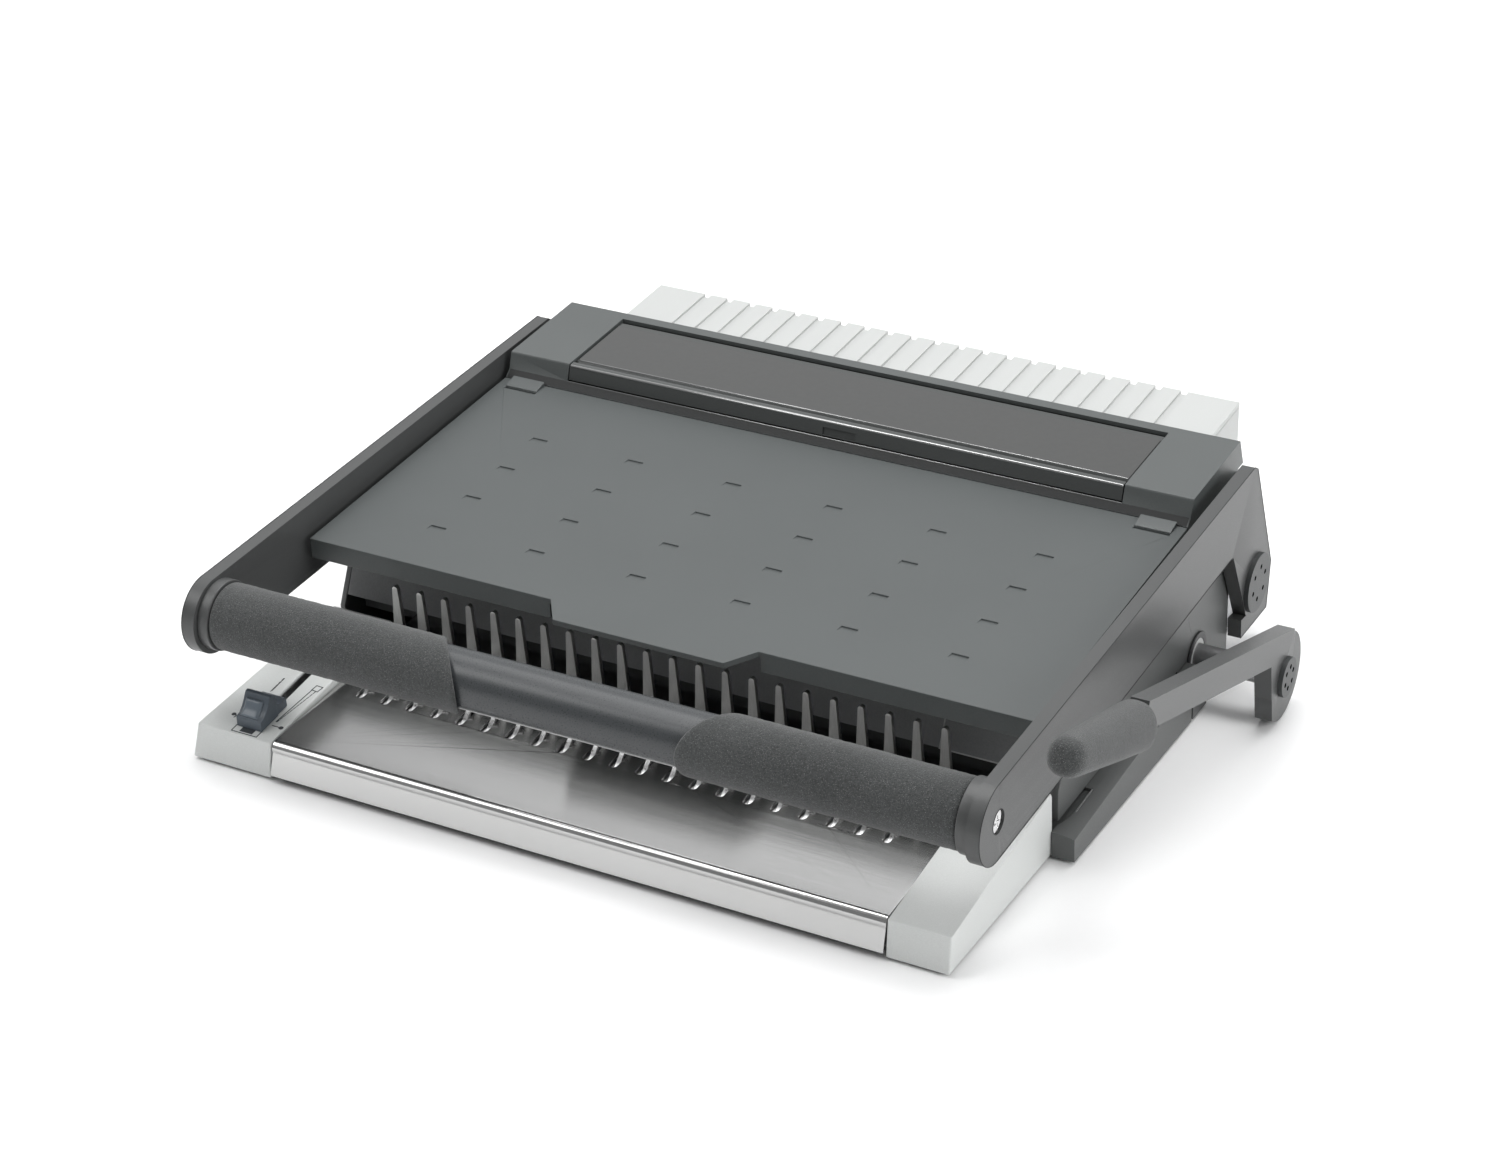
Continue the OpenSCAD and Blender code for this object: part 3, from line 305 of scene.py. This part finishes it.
def soften(o, width):
    """Rounds an object's sharp edges by width (mm) and evens its shading."""
    if width > 0:
        bv = o.modifiers.new("edges", "BEVEL")
        bv.width = width / 1000
        bv.segments = BEVEL_STEPS
        bv.limit_method = "ANGLE"
        bv.angle_limit = BEVEL_ANGLE
        bv.use_clamp_overlap = True
        bv.miter_outer = "MITER_ARC"
    wn = o.modifiers.new("normals", "WEIGHTED_NORMAL")
    wn.keep_sharp = False
    wn.weight = NORMAL_WEIGHT


for n, o in NODES.items():
    mat, width = LOOK[n]
    if not o.material_slots:
        o.data.materials.append(mat)
    for s in o.material_slots:
        s.material = mat
    weld = o.modifiers.new("weld", "WELD")
    weld.merge_threshold = WELD_DISTANCE
    for p in o.data.polygons:
        p.use_smooth = True
    soften(o, width)


# ---- making pieces ----
def make_object(name, bm, mat):
    me = bpy.data.meshes.new(name)
    bm.to_mesh(me)
    bm.free()
    me.materials.append(mat)
    o = bpy.data.objects.new(name, me)
    bpy.context.scene.collection.objects.link(o)
    return o


def add(name, bm, mat, body, replaces=(), smooth=True, local=True):
    """A piece from a bmesh drawn in the machine's frame in mm (local) or in the shared frame."""
    if local:
        bm.transform(TO_WORLD)
    bmesh.ops.recalc_face_normals(bm, faces=bm.faces)
    o = make_object(name, bm, mat)
    for p in o.data.polygons:
        p.use_smooth = smooth
    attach(o, body)
    if replaces:
        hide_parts(*replaces)
    return o


def turns(n):
    """n angles evenly around a circle."""
    return [2 * math.pi * k / n for k in range(n)]


def join(bm, a, b):
    """Faces between two rings of vertices."""
    n = len(a)
    for i in range(n):
        bm.faces.new((a[i], a[(i + 1) % n], b[(i + 1) % n], b[i]))


def skin(bm, rings, close=True):
    """Joins rings of points (all the same length); the last ring joins the first, or both ends get a face."""
    rows = [[bm.verts.new(p) for p in ring] for ring in rings]
    for a, b in zip(rows, rows[1:] + rows[:1] if close else rows[1:]):
        join(bm, a, b)
    if not close:
        bm.faces.new(rows[0])
        bm.faces.new(list(reversed(rows[-1])))


# ---- foam sleeves on the handle's tube, with an oblique inner end and softly rounded ends ----
TUBE_Y, TUBE_Z, TUBE_R, FOAM_T = 25.0, 49.0, 14.0, 2.8
HAND_OFF = 2.05
GRIP_IN, GRIP_IN_OFF, GRIP_OUT = 69.2, 2.6, 195.85
GRIP_CUT, GRIP_CUT_ANGLE = 12.4, math.radians(5)
GRIP_SIDES, GRIP_RINGS, GRIP_WAVE, GRIP_ROUND = 72, 64, 0.10, 1.2
rng = random.Random(5)


def handle_grip(name, side, node):
    """The sleeve on one side, 1 right or -1 left; a ring is (inset of the ends, share of length, radius)."""
    r_in, r_out = TUBE_R, TUBE_R + FOAM_T
    wave = [rng.uniform(-GRIP_WAVE, GRIP_WAVE) for _ in range(GRIP_RINGS + 1)]
    rings = [(0.0, 0.0, r_in), (0.0, 0.0, r_out - 1.3), (0.25, 0.0, r_out - 0.5), (GRIP_ROUND, 0.0, r_out)]
    rings += [(GRIP_ROUND, k / GRIP_RINGS, r_out + wave[k]) for k in range(1, GRIP_RINGS)]
    rings += [(1.0, 1.0, r_out - 0.1), (0.3, 1.0, r_out - 0.5), (0.0, 1.0, r_out - 1.2), (0.0, 1.0, r_in)]
    pts = []
    for dx, t, r in rings:
        ring = []
        for a in turns(GRIP_SIDES):
            x0 = GRIP_IN + GRIP_IN_OFF * side + GRIP_CUT * math.cos(a - GRIP_CUT_ANGLE) * (r / r_out)
            x1 = GRIP_OUT + HAND_OFF * side
            x = x0 + dx + (x1 - x0 - 2 * dx) * t
            ring.append((side * x, TUBE_Y + r * math.cos(a), TUBE_Z + r * math.sin(a)))
        pts.append(ring)
    bm = bmesh.new()
    skin(bm, pts)
    o = add(name, bm, FOAM, "punch_handle", (node,))


handle_grip("foam_right", 1, "right_grip")
handle_grip("foam_left", -1, "left_grip")

# ---- foam grip on the lever: blunt rounded tip, swelling towards the end where the bar enters ----
LEVER_TIP = Vector((244.8, 13.2, 98.6))
LEVER_SLOPE = math.radians(22.0)
ACROSS = Vector((1, 0, 0))
ALONG = Vector((0, math.cos(LEVER_SLOPE), -math.sin(LEVER_SLOPE)))
ABOVE = Vector((0, math.sin(LEVER_SLOPE), math.cos(LEVER_SLOPE)))
LGRIP_L, LGRIP_TIP_R, LGRIP_END_R = 88.3, 9.1, 11.8
LGRIP_SIDES, LGRIP_STEPS, LGRIP_SQUARE, LGRIP_WIDTH = 56, 30, 2.3, 0.97
LGRIP_CUT, LGRIP_CUT_FROM = 1.6, 60


def lever_grip():
    """The sleeve from rings along the lever, each with its distance from the tip and share of the radius."""
    tip = [(0.0, 0.10), (0.12, 0.34), (0.5, 0.52), (1.2, 0.67), (2.3, 0.80), (3.9, 0.905), (6.0, 0.97)]
    middle = [(8.4 + k * (LGRIP_L - 10.4) / LGRIP_STEPS, 1.0 + 0.02 * math.sin(math.pi * k / LGRIP_STEPS))
              for k in range(LGRIP_STEPS + 1)]
    end = [(LGRIP_L - 0.9, 0.985), (LGRIP_L - 0.2, 0.94), (LGRIP_L, 0.88), (LGRIP_L, 0.62)]
    rings = []
    for t, share in tip + middle + end:
        swell = min(1.0, max(0.0, (t - LGRIP_TIP_R) / (LGRIP_L - LGRIP_TIP_R)))
        r = (LGRIP_TIP_R + (LGRIP_END_R - LGRIP_TIP_R) * swell) * share
        ring = []
        for a in turns(LGRIP_SIDES):
            ca, sa = math.cos(a), math.sin(a)
            f = (abs(ca) ** LGRIP_SQUARE + abs(sa) ** LGRIP_SQUARE) ** (-1 / LGRIP_SQUARE)
            # the end is cut a little obliquely: longer on the inner side
            cut = -ca * LGRIP_CUT * max(0.0, (t - LGRIP_CUT_FROM) / (LGRIP_L - LGRIP_CUT_FROM))
            out = ACROSS * (r * f * ca * LGRIP_WIDTH) + ABOVE * (r * f * sa)
            ring.append(LEVER_TIP + ALONG * (t + cut) + out)
        rings.append(ring)
    bm = bmesh.new()
    skin(bm, rings, close=False)
    o = add("foam_lever", bm, FOAM, "bind_lever", ("lever_grip",))


lever_grip()

# ---- the lid's glossy inset and rounded edges ----
HOOD_Z = 64.6
INSET_HALF, INSET_FRONT, INSET_BACK, INSET_CORNER = 158.4, 299.4, 342.9, 0.8
INSET_LOW, INSET_HIGH, INSET_EDGE = HOOD_Z - 1.42, HOOD_Z - 0.95, 0.18
CORNER_STEPS = 5


def slab(bm, x0, x1, y0, y1, z0, z1, r):
    """A plate with rounded corners in plan."""
    pts = []
    corners = ((x1 - r, y1 - r), (x0 + r, y1 - r), (x0 + r, y0 + r), (x1 - r, y0 + r))
    for (cx, cy), a0 in zip(corners, (0, 90, 180, 270)):
        for k in range(CORNER_STEPS + 1):
            a = math.radians(a0 + 90 * k / CORNER_STEPS)
            pts.append((cx + r * math.cos(a), cy + r * math.sin(a)))
    lo = [bm.verts.new((x, y, z0)) for x, y in pts]
    hi = [bm.verts.new((x, y, z1)) for x, y in pts]
    bm.faces.new(list(reversed(lo)))
    bm.faces.new(hi)
    join(bm, lo, hi)


bm = bmesh.new()
slab(bm, -INSET_HALF, INSET_HALF, INSET_FRONT, INSET_BACK, INSET_LOW, INSET_HIGH, INSET_CORNER)
soften(add("lid_inset", bm, LID, "lid"), INSET_EDGE)


def bead(name, half, y, z, r, body, n=20):
    """A rounded edge along X, from -half to half, in a bright metal that paints a highlight line along it."""
    stations = ((-half, r * 0.6), (-half + 0.4 * r, r), (half - 0.4 * r, r), (half, r * 0.6))
    bm = bmesh.new()
    skin(bm, [[(x, y + q * math.cos(a), z + q * math.sin(a)) for a in turns(n)] for x, q in stations],
         close=False)
    add(name, bm, EDGE_HIGHLIGHT, body)


# painted highlights along the lid's front edge and the inset's front edge
bead("lid_front_edge", 158.9, 292.05, 63.35, 0.9, "lid")
bead("lid_inset_edge", 158.2, 299.7, HOOD_Z - 1.35, 0.42, "lid")

# ---- the sill under the lid and the hood's ends: a sheet of painted shade as dark as the lid's front, with a painted highlight along its upper edge ----
SILL_HALF = 195.2
SILL_LOW, SILL_HIGH = (284.33, 52.80), (288.25, 55.84)
bm = bmesh.new()
bm.faces.new([bm.verts.new((x, *yz)) for x, yz in ((-SILL_HALF, SILL_LOW), (SILL_HALF, SILL_LOW),
                                                   (SILL_HALF, SILL_HIGH), (-SILL_HALF, SILL_HIGH))])
add("hood_sill", bm, SILL_SHADE, "base", smooth=False)
bead("hood_sill_edge", 159.6, 288.35, 55.72, 0.28, "base", n=12)

# ---- painted shade: dark discs over the holes in the pivot discs ----
PIVOT_YZ, LEVER_YZ = (344, -8), (283, -19)
HOLE_R, HOLE_SIDES, HOLES, HOLES_START = 1.35, 16, 6, 15


def shade_holes(name, x, yz, ring, body):
    """Six dark discs of painted shade, where the holes are, on a ring in the outer face of a disc."""
    bm = bmesh.new()
    for k in range(HOLES):
        a = math.radians(k * 360 / HOLES + HOLES_START)
        cy, cz = yz[0] + ring * math.cos(a), yz[1] + ring * math.sin(a)
        bm.faces.new([bm.verts.new((x, cy + HOLE_R * math.cos(t), cz + HOLE_R * math.sin(t)))
                      for t in turns(HOLE_SIDES)])
    add(name, bm, HOLE_SHADE, body, smooth=False)


shade_holes("pivot_holes_right", 213.53, PIVOT_YZ, 8.7, "punch_handle")
shade_holes("pivot_holes_left", -209.43, PIVOT_YZ, 8.7, "punch_handle")
shade_holes("lever_holes", 252.33, LEVER_YZ, 5.7, "bind_lever")

# ---- selector pad: a bulged thumb rest in the scooped front ----
CAP_SLOPE = math.radians(3.9)
CAP_IN, CAP_OUT = 158.575, 200
SELECTOR_X, SELECTOR_Y = 4.5 - (CAP_IN + CAP_OUT) / 2, 5.5
SCOOP = [(1.3, 6.0), (2.2, 6.25), (3.2, 6.55), (4.2, 7.1), (5.2, 7.9), (6.2, 8.95), (7.1, 10.15),
         (7.9, 11.35), (8.5, 12.3)]
PAD_STEPS, PAD_OFF, PAD_HALF, PAD_SINK, PAD_BULGE, PAD_THICK = 12, -0.6, 5.3, -0.25, 1.35, 0.0006


def on_cap(x, y, z):
    """Selector coordinates (along the cap's slope) to the machine's frame."""
    c, s = math.cos(CAP_SLOPE), math.sin(CAP_SLOPE)
    return SELECTOR_X + x, (SELECTOR_Y + y) * c - z * s, (SELECTOR_Y + y) * s + z * c


bm = bmesh.new()
rows = []
for k, (y, z) in enumerate(SCOOP):
    t = k / (len(SCOOP) - 1)
    row = []
    for i in range(PAD_STEPS + 1):
        u = -1 + 2 * i / PAD_STEPS
        edge = min(1.0, 4.0 * (1 - abs(u)), 5.0 * t + 0.04, 5.0 * (1 - t) + 0.04)
        lift = PAD_SINK + PAD_BULGE * (1 - (1 - edge) ** 2) * (0.8 + 0.2 * math.cos(u * 1.4))
        row.append(bm.verts.new(on_cap(PAD_OFF + PAD_HALF * u, y - 0.70 * lift, z + 0.72 * lift)))
    rows.append(row)
for a, b in zip(rows, rows[1:]):
    for i in range(PAD_STEPS):
        bm.faces.new((a[i], a[i + 1], b[i + 1], b[i]))
o = add("knob_pad", bm, KNOB_PAD, "selector")
sol = o.modifiers.new("thick", "SOLIDIFY")
sol.thickness = PAD_THICK
sol.offset = -1
ss = o.modifiers.new("smooth", "SUBSURF")
ss.levels = ss.render_levels = 1

# ---- printed marks, set by the image points ----
INK_LIFT, DOT_SIDES = 0.04, 20
SHOWN = []


def stroke(bm, pts, width, closed=False):
    """A flat ribbon through points (x, y) in mm on a local plane."""
    for (x0, y0), (x1, y1) in zip(pts, pts[1:] + pts[:1] if closed else pts[1:]):
        d = Vector((x1 - x0, y1 - y0)).normalized()
        w = Vector((-d.y, d.x)) * width / 2
        e = d * width / 2
        q = [(x0 - e.x + w.x, y0 - e.y + w.y), (x0 - e.x - w.x, y0 - e.y - w.y),
             (x1 + e.x - w.x, y1 + e.y - w.y), (x1 + e.x + w.x, y1 + e.y + w.y)]
        bm.faces.new([bm.verts.new((x, y, INK_LIFT)) for x, y in q])


def dot(bm, r):
    bm.faces.new([bm.verts.new((r * math.cos(a), r * math.sin(a), INK_LIFT)) for a in turns(DOT_SIDES)])


def mark(name, point, node, draw, mat=PRINT, body="base"):
    """Draws flat print around the place on a node that the image point shows; x runs along the machine."""
    place, normal = on_surface(point, NODES[node])
    ex = Vector((1, 0, 0))
    ex = (ex - normal * ex.dot(normal)).normalized()
    ey = normal.cross(ex).normalized()
    bm = bmesh.new()
    draw(bm)
    rot = Matrix((ex, ey, normal)).transposed().to_4x4()
    bm.transform(Matrix.Translation(place) @ rot @ Matrix.Scale(0.001, 4))
    o = make_object(name, bm, mat)
    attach(o, body)
    SHOWN.append((name, point, o))


def draw_box(bm):
    stroke(bm, [(-7.3, -0.4), (7.3, -0.4), (7.3, 4.4), (-7.3, 4.4)], 0.6, closed=True)
    for k in range(4):
        stroke(bm, [(-2.9, 1.0 + 0.9 * k), (3.6, 1.0 + 0.9 * k)], 0.95)


def draw_dot_right(bm):
    dot(bm, 1.25)
    stroke(bm, [(-5.0, 0.0), (-0.8, 0.0)], 0.65)


def draw_dot_left(bm):
    dot(bm, 1.2)
    arc = [math.radians(v) for v in range(100, -31, -26)]
    stroke(bm, [(1.7 * math.cos(a), 1.7 * math.sin(a) - 1.2) for a in arc], 0.6)


def draw_scale(bm):
    low, high, dashes = -15.3, 13.0, 12
    stroke(bm, [(-1.9, low), (0.0, high)], 0.6)
    for k in range(dashes):
        t0, t1 = k / dashes, (k + 0.62) / dashes
        y0, y1 = low + (high - low) * t0, low + (high - low) * t1
        stroke(bm, [(-1.4 + 3.9 * t0, y0), (-1.4 + 3.9 * t1, y1)], 0.55)
    stroke(bm, [(-0.2, high), (3.3, high - 0.4), (3.9, high + 3.6), (0.2, high + 3.9)], 0.6, closed=True)


def draw_line(bm):
    stroke(bm, [(-0.2, -5.6), (0.2, 5.6)], 0.5)
    for y, w in ((-4.6, 1.0), (-2.9, 0.8), (-1.1, 1.1), (1.6, 0.8), (4.4, 1.2)):
        stroke(bm, [(0.0, y), (0.0, y + w)], 0.85)


def draw_label(bm):
    stroke(bm, [(-21, -8.5), (21, -8.5), (21, 8.5), (-21, 8.5)], 0.7, closed=True)


mark("print_box", "mark_box", "left_end_cap", draw_box)
mark("print_dot_right", "mark_dot_right", "left_end_cap", draw_dot_right)
mark("print_dot_left", "mark_dot_left", "left_end_cap", draw_dot_left)
mark("print_scale", "mark_scale", "left_end_cap", draw_scale)
mark("print_line", "mark_line", "left_end_cap", draw_line)
mark("label_frame", "wall_label", "front_wall", draw_label, LABEL_INK)

# ---- painted shade: thin dark lines in the seams along the edges of the arms' outer faces ----
SEAM_R, SEAM_SIDES = 0.00022, 6
SAME_PLACE, SAME_FACE, FACING = 1e-5, 1e-4, 0.99


def seam(name, node, side):
    """A thin dark line of painted shade along the edge of a node's outer face (side 1 right, -1 left)."""
    bm = bmesh.new()
    bm.from_mesh(NODES[node].data)
    bmesh.ops.remove_doubles(bm, verts=bm.verts, dist=SAME_PLACE)
    lim = max(v.co.x * side for v in bm.verts)
    keep = {f for f in bm.faces
            if f.normal.x * side > FACING and abs(f.calc_center_median().x * side - lim) < SAME_FACE}
    out = bmesh.new()
    u = Vector((side, 0, 0))
    for e in bm.edges:
        if sum(1 for f in e.link_faces if f in keep) != 1:
            continue
        a, b = e.verts[0].co, e.verts[1].co
        w = (b - a).normalized().cross(u).normalized()
        offs = [(u * math.cos(t) + w * math.sin(t)) * SEAM_R for t in turns(SEAM_SIDES)]
        join(out, *zip(*[(out.verts.new(a + off), out.verts.new(b + off)) for off in offs]))
    bm.free()
    add(name, out, SEAM_SHADE, "punch_handle", local=False)


seam("seam_right_arm", "right_arm", 1)
seam("seam_left_arm", "left_arm", -1)

# ---- floor and light ----
FLOOR_HALF = 6
WORLD_WHITE, WORLD_FRONT, WORLD_BACK = (0.985, 0.992, 1.0, 1), 0.30, 0.80
bm = bmesh.new()
bmesh.ops.create_grid(bm, x_segments=1, y_segments=1, size=FLOOR_HALF)
FLOOR_PAINT = material("floor_paint", (0.93, 0.93, 0.93), 0.75, spread=0.004, grain=3, bump=0.0, spec=0.15)
floor = make_object("floor", bm, FLOOR_PAINT)

world = bpy.data.worlds.new("studio")
bpy.context.scene.world = world
world.use_nodes = True
sky = world.node_tree
background = sky.nodes["Background"]
background.inputs[0].default_value = WORLD_WHITE
split = sky.nodes.new("ShaderNodeSeparateXYZ")
sky.links.new(sky.nodes.new("ShaderNodeTexCoord").outputs["Generated"], split.inputs[0])
# brighter behind the machine, dimmer on the user's side
sky.links.new(map_range(sky, split.outputs["Y"], -0.6, 0.7, WORLD_FRONT, WORLD_BACK), background.inputs[1])


def area(name, loc, target, size, power):
    d = bpy.data.lights.new(name, "AREA")
    d.shape = "RECTANGLE"
    d.size, d.size_y = size
    d.energy = power
    o = bpy.data.objects.new(name, d)
    bpy.context.scene.collection.objects.link(o)
    o.location = loc
    o.rotation_euler = (Vector(target) - Vector(loc)).to_track_quat("-Z", "Y").to_euler()


area("top", (-0.1, 0.6, 1.8), (0, 0.05, 0.05), (2.2, 1.3), 23)
# a bright tube in the soft box, which draws the highlight lines along the rounded edges
area("strip", (-0.1, 0.1, 1.85), (0, 0, 0.05), (2.0, 0.2), 12)
area("key", (-1.5, -1.1, 1.8), (0, 0, 0.05), (1.2, 1.0), 15)
area("right", (2.0, -0.2, 1.0), (0, 0, 0.05), (0.9, 1.0), 18)

view = bpy.context.scene.view_settings
view.view_transform = "Standard"
view.look = "None"
view.exposure = 0.0

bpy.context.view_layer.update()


# ---- how far each thing shows from its image point ----
def shown_box(o):
    """The image box of an object's finished vertices: left, top, right, bottom."""
    dg = bpy.context.evaluated_depsgraph_get()
    ev = o.evaluated_get(dg)
    me = ev.to_mesh()
    px = [project(ev.matrix_world @ v.co) for v in me.vertices]
    ev.to_mesh_clear()
    return min(p[0] for p in px), min(p[1] for p in px), max(p[0] for p in px), max(p[1] for p in px)


FEATURES = {
    "plate_front_left": M(-158.575, 1.2, -1.2),
    "plate_front_right": M(168.375, 1.2, -1.2),
    "hood_right": M(195.5, 356, 64.6),
    "arm_corner": M(211, 341.5, 59.6),
    "pivot_cap": M(213.5, 344, -8),
    "lever_disc": M(252.3, 283, -19),
}
report = {}
try:
    for name, point, o in SHOWN:
        b = shown_box(o)
        report[name] = [round((b[0] + b[2]) / 2 - POINTS[point][0], 1), round((b[1] + b[3]) / 2 - POINTS[point][1], 1)]
    for name, place in FEATURES.items():
        q = project(place)
        report[name] = [round(q[0] - POINTS[name][0], 1), round(q[1] - POINTS[name][1], 1)]
    whole = [shown_box(o) for o in bpy.context.scene.objects
             if o.type == "MESH" and o.name != "floor" and not o.hide_render]
    report["machine_left"] = [round(min(b[0] for b in whole) - POINTS["machine_left"][0], 1), None]
    report["machine_right"] = [round(max(b[2] for b in whole) - POINTS["machine_right"][0], 1), None]
    report["machine_top"] = [None, round(min(b[1] for b in whole) - POINTS["machine_top"][1], 1)]
    report["machine_bottom"] = [None, round(max(b[3] for b in whole) - POINTS["machine_bottom"][1], 1)]
except Exception as err:
    report["error"] = str(err)
